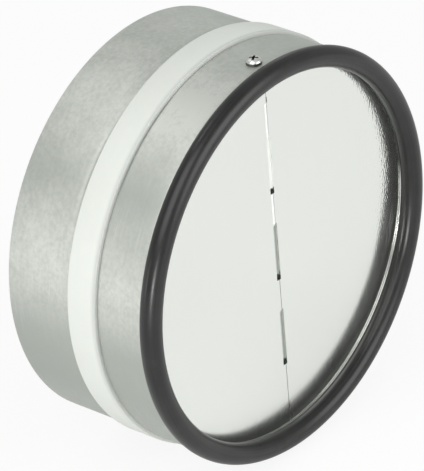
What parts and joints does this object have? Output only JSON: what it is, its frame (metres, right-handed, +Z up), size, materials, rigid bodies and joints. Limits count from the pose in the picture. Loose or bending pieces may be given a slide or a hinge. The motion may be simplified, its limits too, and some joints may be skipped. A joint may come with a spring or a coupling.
{
  "type": "backdraft damper",
  "caption": "round duct damper with sprung half-disc flaps on an upright hinge that open with the air and close against a lip; rubber ring in front, white seal band round the sleeve",
  "frame": {"origin": "on the duct axis, just behind the seal band, where the plain rear spigot begins", "axes": "+Y along the air stream towards the rear spigot, +Z up along the hinge shaft, +X to the right seen from the rubber ring"},
  "size_m": [0.1524, 0.067, 0.1534],
  "materials": {
    "galvanised": "zinc coated sheet, faint spangle",
    "black_rubber": "dark grey-black, slightly dusty",
    "white_seal": "soft off-white strip",
    "flap_sheet": "bright satin sheet",
    "bright_steel": "drawn rod",
    "zinc_screw": "bright zinc plated",
    "spring_steel": "spring wire"
  },
  "bodies": {
    "frame": {"sleeve": "galvanised", "rubber_ring": "black_rubber", "seal_band": "white_seal", "hinge_shaft": "bright_steel", "top_screw": "zinc_screw", "bottom_screw": "zinc_screw", "upper_spring": "spring_steel", "lower_spring": "spring_steel"},
    "left_flap": {"left_flap": "flap_sheet"},
    "right_flap": {"right_flap": "flap_sheet"}
  },
  "joints": [
    {"name": "left_hinge", "type": "hinge", "parent": "frame", "child": "left_flap", "pos_m": [0, -0.0279, 0], "axis": [0, 0, -1], "range_deg": [0, 85], "stiffness_Nm_per_rad": 0.004, "springref_deg": -57.3, "deforming": ["upper_spring", "lower_spring"]},
    {"name": "right_hinge", "type": "hinge", "parent": "frame", "child": "right_flap", "pos_m": [0, -0.0279, 0], "axis": [0, 0, 1], "range_deg": [0, 85], "stiffness_Nm_per_rad": 0.004, "springref_deg": -57.3, "deforming": ["upper_spring", "lower_spring"]}
  ]
}
